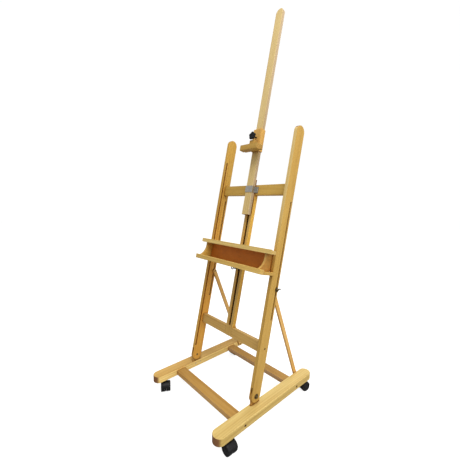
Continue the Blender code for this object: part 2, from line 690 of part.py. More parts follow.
def release_lever(lean):
    """Bent wire: finger ring in front, a pin across it in the bracket, pawl end in the post's slot."""
    pivot = LEVER_PIVOT
    ring_radius = 0.0070
    ring_at = (-0.0560, TRAY_BOTTOM - 0.0130)
    curve = bpy.data.curves.new("release_lever", "CURVE")
    curve.dimensions = "3D"
    curve.bevel_depth = LEVER_WIRE
    curve.bevel_resolution = 1
    curve.use_fill_caps = True
    route = [(0, POST_FRONT + 0.0037, pivot[1] + 0.0040), (0, -0.0090, pivot[1] + 0.0005),
             (0, *pivot), (0, -0.0400, pivot[1] + 0.0002)]
    route += [(0, *point) for point in arc(ring_at, ring_radius, 8, 323, 14)]
    spline = curve.splines.new("POLY")
    spline.points.add(len(route) - 1)
    for point, place in zip(spline.points, route):
        point.co = (*place, 1.0)
    flat = bpy.data.objects.new("release_lever_curve", curve)
    PARTS.objects.link(flat)
    bpy.context.view_layer.update()
    mesh = bpy.data.meshes.new_from_object(flat.evaluated_get(bpy.context.evaluated_depsgraph_get()))
    bpy.data.objects.remove(flat)
    work = bmesh.new()
    work.from_mesh(mesh)
    bmesh.ops.remove_doubles(work, verts=work.verts, dist=1e-6)
    bmesh.ops.recalc_face_normals(work, faces=work.faces)
    bmesh.ops.transform(work, matrix=Matrix.Translation((0, -pivot[0], -pivot[1])), verts=work.verts)
    work.to_mesh(mesh)
    work.free()
    mesh.name = "release_lever"
    mesh.materials.clear()
    mesh.materials.append(DARK_STEEL)
    lever = add_object("release_lever", mesh, PARTS, (0, *pivot), FLAT, lean)
    join(lever, rod("add_lever_pin", LEVER_PIN, 0.028, (-0.014, *pivot), AXIS_X, None, lean, 16))
    return lever


# ---------------------------------------------------------------- braces
def brace_axis(lean_matrix):
    """Direction and length from the brace's foot bolt to its head bolt, in the YZ plane."""
    head = lean_matrix @ Vector((0, SLOT_Y, BRACE_HEAD_Z))
    foot = Vector((0, BRACE_FOOT_Y, BRACE_FOOT_Z))
    run = head - foot
    return math.atan2(-run.y, run.z), run.length


def build_braces(lean, lean_matrix):
    angle, length = brace_axis(lean_matrix)
    radius = BRACE_WIDTH / 2
    shape = arc((0, length), radius, 0, 180) + arc((0, 0), radius, 180, 360)
    for side, sign in sides():
        axis = bpy.data.objects.new(f"axis_brace_{side}", None)
        PARTS.objects.link(axis)
        axis.location = (sign * (BRACE_OUTER - BRACE_THICK / 2), BRACE_FOOT_Y, BRACE_FOOT_Z)
        axis.rotation_euler = (angle, 0, 0)
        brace = outline(f"brace_{side}", shape, BRACE_THICK, (0, 0, 0), SIDE_ON, BEECH, axis)
        for end, height in (("foot", 0.0), ("head", length)):
            place = (-0.015, 0, height)
            cut(brace, rod(f"cut_brace_{end}_{side}", HOLE_RADIUS, 0.03, place, AXIS_X, None, axis))
        outward = (0, sign * math.pi / 2, 0)
        half = BRACE_THICK / 2
        dome = [(0, -half - GAP - 0.0042), (0.0040, -half - GAP - 0.0036), (0.0080, -half - GAP - 0.0012),
                (0.0085, -half - GAP)]
        shank = [(0, half - 0.0002), (BOLT_RADIUS, half - 0.0002), (BOLT_RADIUS, -half - GAP)]
        turned(f"brace_head_bolt_{side}", shank + dome[::-1], (0, 0, length), outward, STEEL, axis)
        reach = half + 0.024
        pin = [(0, reach), (BOLT_RADIUS, reach), (BOLT_RADIUS, -half - GAP)]
        world = axis.location
        turned(f"brace_foot_bolt_{side}", pin + dome[::-1], world, outward, STEEL)
        slot_clamp(side, sign, lean)


def slot_clamp(side, sign, lean):
    """Stud and washer in the upright's slot, and the wing nut outside it."""
    outer = UPRIGHT_THICK / 2 + GAP
    inner = -UPRIGHT_THICK / 2 + 0.0002
    washer = outer + 0.0016
    shape = [(0, outer + 0.0135), (BOLT_RADIUS, outer + 0.0135), (BOLT_RADIUS, washer), (0.0100, washer),
             (0.0100, outer), (0.0040, outer), (0.0040, inner), (0, inner)]
    place = (sign * UPRIGHT_MIDDLE, SLOT_Y, BRACE_HEAD_Z)
    outward = (0, sign * math.pi / 2, 0)
    turned(f"slot_stud_{side}", shape, place, outward, DARK_STEEL, lean)
    axis = bpy.data.objects.new(f"axis_wing_nut_{side}", None)
    PARTS.objects.link(axis)
    axis.parent = lean
    axis.location = (sign * (UPRIGHT_OUTER + GAP + 0.0016 + GAP), SLOT_Y, BRACE_HEAD_Z)
    axis.rotation_euler = outward
    barrel_shape = [(0, 0.009), (0.0048, 0.009), (0.0065, 0), (0, 0)]
    barrel = turned(f"wing_nut_{side}", barrel_shape, (0, 0, 0), FLAT, DARK_STEEL, axis)
    wing_shape = [(0.003, 0.002), (0.0065, 0.002), (0.0120, 0.0085),
                  *arc((0.0110, 0.0120), 0.0028, -30, 150, 6), (0.003, 0.0085)]
    rear_wing = math.pi / 2 + sign * math.radians(30)
    wings = []
    for turn, hand in ((rear_wing, "rear"), (rear_wing + math.pi, "front")):
        wing_turn = (math.pi / 2, 0, turn)
        wings.append(outline(f"add_wing_{side}_{hand}", wing_shape, 0.0024, (0, 0, 0), wing_turn, None, axis))
    join(barrel, *wings)
    bore = rod(f"cut_wing_nut_{side}", BOLT_RADIUS + GAP, 0.03, (0, 0, -0.005), FLAT, None, axis)
    cut(barrel, bore)


def build_leaning_frame():
    lean = bpy.data.objects.new("axis_foot_bolts", None)
    PARTS.objects.link(lean)
    lean.location = (0, PIVOT_Y, PIVOT_Z)
    lean.rotation_euler = (-LEAN, 0, 0)
    lower = stretcher(lean)
    for side, sign in sides():
        stretcher_screw(side, sign, lower, upright(side, sign, lean), lean)
    upper_crossbar(lean)
    center_post(lean)
    ratchet_strip(lean)
    mast_keeper(lean)
    mast(lean)
    mast_lock(lean)
    clamp(lean)
    tray(lean)
    tray_carriage(lean)
    release_bracket(lean)
    release_lever(lean)
    lean_matrix = Matrix.Translation(lean.location) @ Matrix.Rotation(-LEAN, 4, "X")
    build_braces(lean, lean_matrix)


build_base()
build_casters()
build_leaning_frame()
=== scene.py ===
import math

import bmesh
import bpy
from mathutils import Matrix, Vector


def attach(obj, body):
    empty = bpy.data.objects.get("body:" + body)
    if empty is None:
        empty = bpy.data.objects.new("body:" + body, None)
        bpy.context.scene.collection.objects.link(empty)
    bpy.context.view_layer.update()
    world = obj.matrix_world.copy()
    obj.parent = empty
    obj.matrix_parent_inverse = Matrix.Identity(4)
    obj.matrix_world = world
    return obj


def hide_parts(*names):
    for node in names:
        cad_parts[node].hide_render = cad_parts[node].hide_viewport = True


# Looks of the rolling studio easel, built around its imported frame. Metres, row frame: +X to the right of a
# painter who faces the easel, +Y to the back, +Z up. Wooden boards keep their CAD solids, with rounded arrises
# and grain that runs along each board. Casters, knobs, nuts, bolts, screws, the release lever and the tray's
# guide battens are modelled anew on the same axes, most of them in finer detail.

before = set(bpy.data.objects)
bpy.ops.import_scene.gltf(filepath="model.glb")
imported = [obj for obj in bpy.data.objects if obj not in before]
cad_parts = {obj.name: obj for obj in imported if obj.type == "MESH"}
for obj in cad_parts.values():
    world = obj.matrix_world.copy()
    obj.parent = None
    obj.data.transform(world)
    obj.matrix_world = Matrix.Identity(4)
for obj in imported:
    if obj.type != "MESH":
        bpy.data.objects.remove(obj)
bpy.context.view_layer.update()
SIDES = (("left", -1), ("right", 1))

# ---------------------------------------------------------------- axes and sizes shared with the CAD
LEAN = math.radians(12.2)
PIVOT = Vector((0, -0.080, 0.138))                  # on the axis of the foot bolts
# The leaning frame's pieces are placed in its own upright coordinates, where Z runs up the uprights.
LEANING = Matrix.Translation(PIVOT) @ Matrix.Rotation(-LEAN, 4, "X")
GAP = 0.0003                                        # between neighbouring pieces
TO_FRONT = Matrix.Rotation(math.pi / 2, 4, "X")     # brings a piece's own Z to -Y
TO_BACK = Matrix.Rotation(-math.pi / 2, 4, "X")     # brings it to +Y
UPSIDE_DOWN = Matrix.Rotation(math.pi, 4, "X")

# base: rails, crossbars and casters
RAIL_OUTER = 0.295
RAIL_INNER = 0.232
CROSSBAR_MIDDLES = {"front": -0.19475, "rear": 0.1985}
CROSSBAR_MIDDLE_Z = 0.0795
CASTER_HEIGHT = 0.062
CASTER_X = 0.261
CASTER_Y = 0.280
CASTER_TRAIL = 0.0265
CASTER_HEADINGS = {"front_left": (-1, -1, -29.0), "front_right": (1, -1, -3.5),
                   "rear_left": (-1, 1, -90.0), "rear_right": (1, 1, 75.0)}
WHEEL_RADIUS = 0.026
WHEEL_OUTER = 0.0260                                # half the width over both wheels
WEB_HALF = 0.0040
WEB_RADIUS = 0.0250
HOOD_RADIUS = 0.0290
HOOD_INNER = 0.0269
HOOD_CROWN = 0.0016
PLATE_THICK = 0.0025
KINGPIN_FOOT = 0.045

# leaning frame: uprights, centre post, mast, braces and their bolts
UPRIGHT_OUTER = 0.2515
UPRIGHT_MIDDLE = 0.242
UPRIGHT_THICK = 0.019
UPRIGHT_INNER = UPRIGHT_OUTER - UPRIGHT_THICK
GROOVE_FLOOR = UPRIGHT_INNER + 0.0055
STRETCHER_MIDDLE_Z = 0.228
POST_FRONT = -0.0056
POST_BACK = 0.0185
MAST_HALF = 0.0237
MAST_FRONT = -0.0333
MAST_BACK = -0.0129
MAST_LOCK_Z = 1.0105
CLAMP_SCREW_Z = 1.2885
BRACE_FOOT = Vector((0.2261, 0.280, 0.081))
BRACE_HALF = 0.0055
SLOT_Y = 0.0175
HEAD_BOLT_Z = 0.518
BOLT_RADIUS = 0.003
BOLT_CLEAR = 0.0004                                 # from a knob's bolt tip to the mast
WASHER_THICK = 0.0016

# tray and its release lever
TRAY_BOTTOM = 0.5855
LEDGE_BOTTOM = 0.684
BATTEN_INNER = 0.2120
BATTEN_MIDDLE_Y = -0.02385
BATTEN_THICK = 0.0057
LEVER_PIVOT = Vector((0, -0.0200, TRAY_BOTTOM - 0.0140))
LEVER_WIRE = 0.0026
LEVER_RING = 0.0068


def outward(sign):
    """Turn that brings a piece's own Z to the given side."""
    return Matrix.Rotation(sign * math.pi / 2, 4, "Y")


def at(x, y, z):
    return Matrix.Translation((x, y, z))


# ---------------------------------------------------------------- node helpers
def node(tree, kind, settings=None, inputs=None):
    """New node with its properties and inputs set; an input may be another node's socket."""
    made = tree.nodes.new(kind)
    for key, value in (settings or {}).items():
        setattr(made, key, value)
    for key, value in (inputs or {}).items():
        if isinstance(value, bpy.types.NodeSocket):
            tree.links.new(value, made.inputs[key])
        else:
            made.inputs[key].default_value = value
    return made


def math_node(tree, operation, a, b=0.0):
    return node(tree, "ShaderNodeMath", {"operation": operation}, {0: a, 1: b}).outputs[0]


def vector_math(tree, operation, a, b):
    return node(tree, "ShaderNodeVectorMath", {"operation": operation}, {0: a, 1: b}).outputs


def scaled(tree, vector, factors):
    return vector_math(tree, "MULTIPLY", vector, factors)[0]


def parts_of(tree, vector):
    return node(tree, "ShaderNodeSeparateXYZ", None, {0: vector}).outputs


def mapped(tree, value, low, high, to_low=0.0, to_high=1.0, interpolation="LINEAR"):
    """Brings low and high to to_low and to_high, and holds the value between them."""
    return node(tree, "ShaderNodeMapRange", {"interpolation_type": interpolation},
                {0: value, 1: low, 2: high, 3: to_low, 4: to_high}).outputs[0]


def mix_colour(tree, factor, a, b, blend="MIX"):
    made = node(tree, "ShaderNodeMix", {"data_type": "RGBA", "blend_type": blend}, {0: factor, 6: a, 7: b})
    return made.outputs[2]


def tinted(tree, factor, colour, tint):
    """Colour times the tint, as far as factor says."""
    return mix_colour(tree, factor, colour, (*tint, 1.0), "MULTIPLY")


def noise(tree, vector, scale, detail=2.0, roughness=0.5):
    inputs = {"Vector": vector, "Scale": scale, "Detail": detail, "Roughness": roughness}
    return node(tree, "ShaderNodeTexNoise", None, inputs)


def ramp(tree, factor, *stops):
    """Colour ramp through (position, colour) stops."""
    made = node(tree, "ShaderNodeValToRGB", None, {0: factor})
    elements = made.color_ramp.elements
    while len(elements) < len(stops):
        elements.new(0.5)
    for element, (position, colour) in zip(elements, stops):
        element.position = position
        element.color = (*colour, 1.0)
    return made.outputs[0]


def edge_wear_and_highlight(tree, radius, sharpest, amount):
    """How pale a spot gets, partly as wear and partly as painted highlight: 0 on a flat face, up to amount where
    an arris within radius turns the normal so far that its cosine with the face is sharpest."""
    rounded = node(tree, "ShaderNodeBevel", {"samples": 4}, {"Radius": radius}).outputs[0]
    flat = node(tree, "ShaderNodeNewGeometry").outputs["Normal"]
    alike = vector_math(tree, "DOT_PRODUCT", rounded, flat)["Value"]
    return mapped(tree, alike, 0.99, sharpest, 0.0, amount)


def new_material(name):
    """Material with its shader; returns (material, tree, shader)."""
    made = bpy.data.materials.new(name)
    made.use_nodes = True
    return made, made.node_tree, made.node_tree.nodes["Principled BSDF"]


def bump(tree, height, strength, distance):
    inputs = {"Strength": strength, "Distance": distance, "Height": height}
    return node(tree, "ShaderNodeBump", None, inputs).outputs[0]


def surface(tree, shader, colour, rough, normal):
    """Links a pattern's colour, roughness and bumped normal to the shader."""
    for socket, value in (("Base Color", colour), ("Roughness", rough), ("Normal", normal)):
        tree.links.new(value, shader.inputs[socket])


# ---------------------------------------------------------------- wood
PALE = (0.700, 0.480, 0.195)
HONEY = (0.620, 0.405, 0.145)
BROWN = (0.480, 0.280, 0.080)
FLECK = (0.36, 0.19, 0.06, 1.0)
END_GRAIN = (0.165, 0.064, 0.024, 1.0)
END_FIBRE = (0.290, 0.135, 0.050, 1.0)
WORN_AND_HIGHLIT_WOOD = (0.78, 0.60, 0.30, 1.0)
PAINTED_CREVICE_SHADE = (0.56, 0.34, 0.16)       # painted shade in corners, creases and where two boards meet
PAINTED_SHADE_REACH = 0.022
# painted shade for the floor of an upright's groove
PAINTED_GROOVE_SHADE = (0.50, 0.33, 0.20)
FACES_THE_AXIS = 0.7                    # least part of a face's normal along an axis to count as facing it
# no painted light or shade on any face
UNTINTED = ("X", None, None)

# turns of a board's coordinates that bring its length to Z
UP_THE_LEAN = (LEAN, 0.0, 0.0)
ACROSS_THE_LEAN = (LEAN, -math.pi / 2, 0.0)
ALONG_Y = (math.pi / 2, 0.0, 0.0)
ALONG_X = (0.0, -math.pi / 2, 0.0)
DEPTH_OF_LEAN = (LEAN + math.pi / 2, 0.0, 0.0)
UP_THE_BRACE = (math.radians(-22.65), 0.0, 0.0)


def grain_group():
    """Beech grain in board coordinates in metres, Z along the board: gives Colour, Rough and Height."""
    tree = bpy.data.node_groups.new("beech_grain", "ShaderNodeTree")
    tree.interface.new_socket("Vector", in_out="INPUT", socket_type="NodeSocketVector")
    gives = (("Colour", "NodeSocketColor"), ("Rough", "NodeSocketFloat"), ("Height", "NodeSocketFloat"))
    for label, kind in gives:
        tree.interface.new_socket(label, in_out="OUTPUT", socket_type=kind)
    vector = tree.nodes.new("NodeGroupInput").outputs[0]

    drift = noise(tree, scaled(tree, vector, (1.0, 1.0, 0.10)), 11.0, 3.0, 0.55).outputs["Color"]
    warp = vector_math(tree, "SUBTRACT", drift, (0.5, 0.5, 0.5))[0]
    bent = vector_math(tree, "ADD", vector, scaled(tree, warp, (0.045, 0.045, 0.0)))[0]
    rings = node(tree, "ShaderNodeTexWave", {"wave_type": "RINGS", "rings_direction": "Z"},
                 {"Vector": bent, "Scale": 26.0, "Distortion": 0.6, "Detail": 2.0, "Detail Scale": 3.0})
    ring = math_node(tree, "POWER", rings.outputs["Fac"], 1.6)
    fibres = noise(tree, scaled(tree, vector, (430.0, 430.0, 7.0)), 1.0, 3.0, 0.65).outputs[0]
    stripes = noise(tree, scaled(tree, vector, (90.0, 90.0, 1.6)), 1.0).outputs[0]
    broad = noise(tree, scaled(tree, vector, (15.0, 15.0, 2.8)), 1.0).outputs[0]
    tone = math_node(tree, "MULTIPLY", ring, 0.16)
    for part, share in ((fibres, 0.34), (stripes, 0.38), (broad, 0.58)):
        tone = math_node(tree, "ADD", tone, math_node(tree, "MULTIPLY", part, share))
    colour = ramp(tree, tone, (0.46, PALE), (0.73, HONEY), (1.0, BROWN))

    specks = noise(tree, scaled(tree, vector, (1500.0, 1500.0, 110.0)), 1.0, 1.0, 0.5).outputs[0]
    flecks = mapped(tree, specks, 0.60, 0.70)
    colour = mix_colour(tree, math_node(tree, "MULTIPLY", flecks, 0.32), colour, FLECK)
    rough = math_node(tree, "ADD", 0.40, math_node(tree, "MULTIPLY", fibres, 0.20))
    height = math_node(tree, "SUBTRACT", fibres, math_node(tree, "MULTIPLY", flecks, 0.5))
    out = tree.nodes.new("NodeGroupOutput")
    for socket, value in zip(out.inputs, (colour, rough, height)):
        tree.links.new(value, socket)
    return tree


GRAIN = grain_group()


def wood(name, turn, seed, tint, cut_ends=1.0, face_light=UNTINTED, shaded_groove=False):
    """Varnished beech with its grain along the direction that turn brings to Z; seed shifts the pattern.

    cut_ends is how far the end grain darkens. Next comes painted light and shade: an axis, the further tint of
    the faces that look along it as the light falls on them, and None or the heights between which that tint sets
    in.
    The last argument paints shade on the floor of an upright's groove and on the other inward faces sunk below its
    inner face. Ambient occlusion paints shade into corners and joints.
    """
    made, tree, shader = new_material(name)
    place = node(tree, "ShaderNodeTexCoord").outputs
    spot, facing = parts_of(tree, place["Object"]), parts_of(tree, place["Normal"])
    offset = (0.31 + 0.137 * seed, 0.23 + 0.211 * (seed % 7), 0.517 * seed)
    board = node(tree, "ShaderNodeMapping", None,
                 {"Vector": place["Object"], "Rotation": turn, "Location": offset}).outputs[0]
    grain = node(tree, "ShaderNodeGroup", {"node_tree": GRAIN}, {0: board}).outputs
    colour = tinted(tree, 1.0, grain["Colour"], tint)

    # painted light and shade: faces that look along the axis are tinted lighter or darker as the light falls on
    # them
    axis, face_light_tint, fade = face_light
    if face_light_tint:
        face_light_mask = math_node(tree, "GREATER_THAN", math_node(tree, "ABSOLUTE", facing[axis]), FACES_THE_AXIS)
        if fade:
            face_light_mask = math_node(tree, "MULTIPLY", face_light_mask, mapped(tree, spot["Z"], *fade))
        colour = tinted(tree, face_light_mask, colour, face_light_tint)

    normal = node(tree, "ShaderNodeMapping", {"vector_type": "NORMAL"},
                  {"Vector": place["Normal"], "Rotation": turn}).outputs[0]
    lengthwise = math_node(tree, "ABSOLUTE", parts_of(tree, normal)["Z"])
    end = mapped(tree, lengthwise, 0.36, 0.80, 0.0, cut_ends, "SMOOTHSTEP")
    pores = noise(tree, board, 1400.0, 2.0, 0.6).outputs[0]
    colour = mix_colour(tree, end, colour, mix_colour(tree, pores, END_GRAIN, END_FIBRE))
    # paler arrises: partly wear, partly painted highlight
    colour = mix_colour(tree, edge_wear_and_highlight(tree, 0.0012, 0.90, 0.25), colour, WORN_AND_HIGHLIT_WOOD)
    # painted shade: ambient occlusion darkens the colour in corners, grooves and between boards
    shade = node(tree, "ShaderNodeAmbientOcclusion", {"samples": 6}, {"Distance": PAINTED_SHADE_REACH}).outputs["AO"]
    colour = tinted(tree, mapped(tree, shade, 0.80, 0.18), colour, PAINTED_CREVICE_SHADE)
    # painted shade on the floor of an upright's groove and on the other inward faces sunk below its inner face
    if shaded_groove:
        sunk = math_node(tree, "GREATER_THAN", math_node(tree, "ABSOLUTE", spot["X"]), UPRIGHT_INNER + 0.0006)
        inward = math_node(tree, "LESS_THAN", math_node(tree, "MULTIPLY", facing["X"], spot["X"]), -0.1)
        colour = tinted(tree, math_node(tree, "MULTIPLY", sunk, inward), colour, PAINTED_GROOVE_SHADE)

    rough = math_node(tree, "ADD", grain["Rough"], math_node(tree, "MULTIPLY", end, 0.22))
    surface(tree, shader, colour, rough, bump(tree, grain["Height"], 0.22, 0.0006))
    shader.inputs["Coat Weight"].default_value = 0.06
    shader.inputs["Coat Roughness"].default_value = 0.28
    shader.inputs["Specular IOR Level"].default_value = 0.22
    return made


# ---------------------------------------------------------------- hardboard, plastic and metal
def hardboard():
    """Smooth-faced brown hardboard: mottled, with fine pressed fibres."""
    made, tree, shader = new_material("hardboard_brown")
    place = node(tree, "ShaderNodeTexCoord").outputs["Object"]
    mottle = noise(tree, place, 38.0, 4.0, 0.6).outputs[0]
    specks = noise(tree, place, 900.0, 2.0, 0.6).outputs[0]
    tone = math_node(tree, "ADD", math_node(tree, "MULTIPLY", mottle, 0.6),
                     math_node(tree, "MULTIPLY", specks, 0.4))
    colour = ramp(tree, tone, (0.32, (0.430, 0.138, 0.016)), (0.55, (0.515, 0.170, 0.022)),
                  (0.78, (0.600, 0.215, 0.036)))
    rough = math_node(tree, "ADD", 0.42, math_node(tree, "MULTIPLY", specks, 0.22))
    surface(tree, shader, colour, rough, bump(tree, specks, 0.18, 0.0004))
    shader.inputs["Specular IOR Level"].default_value = 0.2
    return made


def plastic(name, base, rough_low, scratch):
    """Moulded black nylon: fine pebbled bump, uneven gloss and paler edges, partly wear and partly painted
    highlight.
    """
    made, tree, shader = new_material(name)
    place = node(tree, "ShaderNodeTexCoord").outputs["Object"]
    cloud = noise(tree, place, 60.0, 3.0, 0.6).outputs[0]
    pebble = noise(tree, place, 2600.0).outputs[0]
    dusty = tuple(c * 1.8 + 0.004 for c in base)
    colour = mix_colour(tree, math_node(tree, "MULTIPLY", cloud, scratch), (*base, 1.0), (*dusty, 1.0))
    # paler edges: partly wear, partly painted highlight
    colour = mix_colour(tree, edge_wear_and_highlight(tree, 0.0007, 0.88, 0.4), colour, (0.030, 0.030, 0.033, 1.0))
    rough = math_node(tree, "ADD", rough_low, math_node(tree, "MULTIPLY", cloud, 0.20))
    surface(tree, shader, colour, rough, bump(tree, pebble, 0.25, 0.00015))
    shader.inputs["Specular IOR Level"].default_value = 0.22
    return made


def metal(name, base, rough_low, spots):
    """Plated or blackened steel with a cloudy finish and hairline rubs."""
    made, tree, shader = new_material(name)
    place = node(tree, "ShaderNodeTexCoord").outputs["Object"]
    cloud = noise(tree, place, 210.0, 4.0, 0.6).outputs[0]
    rubs = noise(tree, scaled(tree, place, (2200.0, 260.0, 260.0)), 1.0, 2.0, 0.6).outputs[0]
    dull = tuple(c * 0.45 for c in base)
    colour = mix_colour(tree, mapped(tree, cloud, 0.45, 0.75, 0.0, spots), (*base, 1.0), (*dull, 1.0))
    rough = math_node(tree, "ADD", rough_low, math_node(tree, "MULTIPLY", rubs, 0.22))
    surface(tree, shader, colour, rough, bump(tree, rubs, 0.12, 0.0001))
    shader.inputs["Metallic"].default_value = 1.0
    return made


BLACK = plastic("knob_nylon", (0.0034, 0.0034, 0.0038), 0.36, 0.5)
WHEEL = plastic("wheel_nylon", (0.0044, 0.0046, 0.0052), 0.42, 0.8)
WIRE = plastic("blackened_wire", (0.006, 0.005, 0.004), 0.35, 0.5)
ZINC = metal("zinc_steel", (0.52, 0.50, 0.46), 0.24, 0.6)
OLIVE = metal("passivated_steel", (0.060, 0.056, 0.040), 0.34, 0.6)
BRASSY = metal("yellow_passivated_steel", (0.185, 0.140, 0.070), 0.36, 0.8)
DARK = metal("dark_steel_oxide", (0.020, 0.016, 0.012), 0.42, 0.5)


# ---------------------------------------------------------------- CAD boards
def smoothing_group():
    """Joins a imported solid's loose triangles and shades it smooth, so that a bevel can follow."""
    tree = bpy.data.node_groups.new("join_and_smooth", "GeometryNodeTree")
    for way in ("INPUT", "OUTPUT"):
        tree.interface.new_socket("Geometry", in_out=way, socket_type="NodeSocketGeometry")
    solid = tree.nodes.new("NodeGroupInput").outputs[0]
    for attribute in ("custom_normal", "sharp_edge", "sharp_face"):
        solid = node(tree, "GeometryNodeRemoveAttribute", None, {"Geometry": solid, "Name": attribute}).outputs[0]
    whole = node(tree, "GeometryNodeMergeByDistance", None, {"Geometry": solid, "Distance": 0.000002}).outputs[0]
    smooth = node(tree, "GeometryNodeSetShadeSmooth", None, {"Geometry": whole}).outputs[0]
    tree.links.new(smooth, tree.nodes.new("NodeGroupOutput").inputs[0])
    return tree


SMOOTHING = smoothing_group()


def soften(obj, width, segments):
    """Rounded arrises."""
    edge = obj.modifiers.new("arris", "BEVEL")
    edge.width = width
    edge.segments = segments
    edge.limit_method = "ANGLE"
    edge.angle_limit = math.radians(28.0)
    edge.use_clamp_overlap = False
    edge.harden_normals = True
    edge.miter_outer = "MITER_ARC"


def dress(name, finish, width, segments=3):
    """Gives a CAD node its finish and rounded arrises."""
    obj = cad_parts[name]
    obj.data.materials.clear()
    obj.data.materials.append(finish)
    join = obj.modifiers.new("join", "NODES")
    join.node_group = SMOOTHING
    flat = obj.modifiers.new("flat_faces", "DECIMATE")
    flat.decimate_type = "DISSOLVE"
    flat.angle_limit = math.radians(0.6)
    if width:
        soften(obj, width, segments)


# tints of the boards, as each plank's own colour over the common grain; SHADED is painted shade, a darker tint for
# pieces that sit in shade
CREAM = (1.10, 1.22, 1.38)
HONEYED = (0.94, 0.88, 0.50)
AMBER = (1.18, 1.04, 0.80)
TOASTED = (0.65, 0.53, 0.31)
# painted shade: darker tint for the pieces that sit in shade, under the tray, behind its cheeks and at the feet
SHADED = (0.80, 0.66, 0.42)

# each board's grain direction, tint and arris; a board's place in the list shifts its grain
BOARDS = {
    "base_rail_left": (ALONG_Y, (0.90, 0.82, 0.60), 0.0022),
    "base_rail_right": (ALONG_Y, (0.99, 1.08, 1.00), 0.0022),
    "crossbar_front": (ALONG_X, TOASTED, 0.0015),
    "crossbar_rear": (ALONG_X, TOASTED, 0.0015),
    "foot_tongue_left": (UP_THE_LEAN, SHADED, 0.0004),
    "foot_tongue_right": (UP_THE_LEAN, SHADED, 0.0004),
    "upright_left": (UP_THE_LEAN, (0.94, 0.82, 0.39), 0.0011),
    "upright_right": (UP_THE_LEAN, (0.86, 0.78, 0.46), 0.0011),
    "lower_stretcher": (ACROSS_THE_LEAN, (0.92, 0.86, 0.66), 0.0011),
    "upper_crossbar": (ACROSS_THE_LEAN, HONEYED, 0.0011),
    "center_post": (UP_THE_LEAN, (0.90, 0.84, 0.62), 0.0010),
    "canvas_mast": (UP_THE_LEAN, CREAM, 0.0016),
    "clamp_body": (UP_THE_LEAN, (1.06, 0.92, 0.62), 0.0016),
    "clamp_grip_bar": (ACROSS_THE_LEAN, (0.78, 0.70, 0.39), 0.0014),
    "tray_board": (ACROSS_THE_LEAN, HONEYED, 0.0008),
    "tray_lip": (ACROSS_THE_LEAN, (1.08, 1.06, 0.76), 0.0016),
    "tray_cheek_left": (DEPTH_OF_LEAN, HONEYED, 0.0010),
    "tray_cheek_right": (DEPTH_OF_LEAN, (1.0, 0.94, 0.60), 0.0010),
    "canvas_ledge": (ACROSS_THE_LEAN, (1.18, 1.28, 1.16), 0.0013),
    "tray_cross_batten": (ACROSS_THE_LEAN, SHADED, 0.0008),
    "tray_post_keeper": (ACROSS_THE_LEAN, SHADED, 0.0010),
    "brace_left": (UP_THE_BRACE, AMBER, 0.0012),
    "brace_right": (UP_THE_BRACE, AMBER, 0.0012),
}
# painted light and shade: further tint of the faces that look along an axis, lighter or darker as the light falls
# on them; a pair at the end is the heights between which it sets in
PAINTED_FACE_LIGHT = {
    "base_rail_left": ("X", (1.62, 1.90, 2.45), None),
    "base_rail_right": ("X", (1.0, 0.98, 0.88), None),
    "crossbar_front": ("Y", (1.50, 1.57, 2.25), None),
    "crossbar_rear": ("Y", (1.42, 1.63, 3.60), None),
    "upright_left": ("X", (1.18, 1.0, 0.88), (1.15, 0.70)),
    "upright_right": ("Y", (1.26, 1.50, 2.60), (0.75, 1.15)),
    "center_post": ("X", (1.34, 1.24, 0.72), None),
    "canvas_mast": ("X", (0.70, 0.70, 0.96), None),
    "tray_cheek_right": ("X", (0.72, 0.58, 0.50), None),
}
PALE_ENDED = ("clamp_body", "clamp_grip_bar", "tray_lip", "tray_board", "canvas_ledge", "tray_cheek_left",
              "tray_cheek_right")

for seed, (board, (turn, tint, arris)) in enumerate(BOARDS.items()):
    finish = wood("beech_" + board, turn, seed, tint, 0.25 if board in PALE_ENDED else 1.0,
                  PAINTED_FACE_LIGHT.get(board, UNTINTED), board.startswith("upright"))
    dress(board, finish, arris)
dress("tray_back_panel", hardboard(), 0.0004, 2)
dress("ratchet_strip", DARK, 0.0)
dress("release_bracket", OLIVE, 0.0003, 2)
dress("mast_keeper", ZINC, 0.0006, 2)


# ---------------------------------------------------------------- shapes for the fine pieces
def turn_shell(work, matrix, profile, segments=48, lobes=0, depth=0.0):
    """Adds a shell turned about Z from (radius, height) points; lobes scallop it by depth of its radius."""
    rings = []
    for radius, height in profile:
        ring = []
        for i in range(segments if radius > 0 else 1):
            angle = 2 * math.pi * i / segments
            reach = radius * (1 - depth * (1 - math.cos(lobes * angle)) / 2)
            point = Vector((reach * math.sin(angle), reach * math.cos(angle), height))
            ring.append(work.verts.new(matrix @ point))
        rings.append(ring)
    for first, second in zip(rings, rings[1:]):
        for i in range(segments):
            j = (i + 1) % segments
            corners = [first[i % len(first)], first[j % len(first)],
                       second[j % len(second)], second[i % len(second)]]
            corners = list(dict.fromkeys(corners))
            if len(corners) > 2:
                work.faces.new(corners)


def plate_shell(work, matrix, outline, thick):
    """Adds a plate with the given outline in XY, thick about its middle plane."""
    top = [work.verts.new(matrix @ Vector((a, b, thick / 2))) for a, b in outline]
    bottom = [work.verts.new(matrix @ Vector((a, b, -thick / 2))) for a, b in outline]
    work.faces.new(top)
    work.faces.new(bottom[::-1])
    for i in range(len(outline)):
        j = (i + 1) % len(outline)
        work.faces.new([top[i], bottom[i], bottom[j], top[j]])


def dome(work, matrix, radius, height):
    """Adds a low round head that stands on its own origin."""
    points = [(radius * math.cos(a), height * math.sin(a)) for a in (math.pi / 2 * i / 8 for i in range(8))]
    turn_shell(work, matrix, [(0, -0.0001), (radius, -0.0001), *points, (0, height)], 40)


def rod(work, matrix, radius, start, end):
    """Adds a plain round rod along Z."""
    turn_shell(work, matrix, [(0, start), (radius, start), (radius, end), (0, end)], 24)


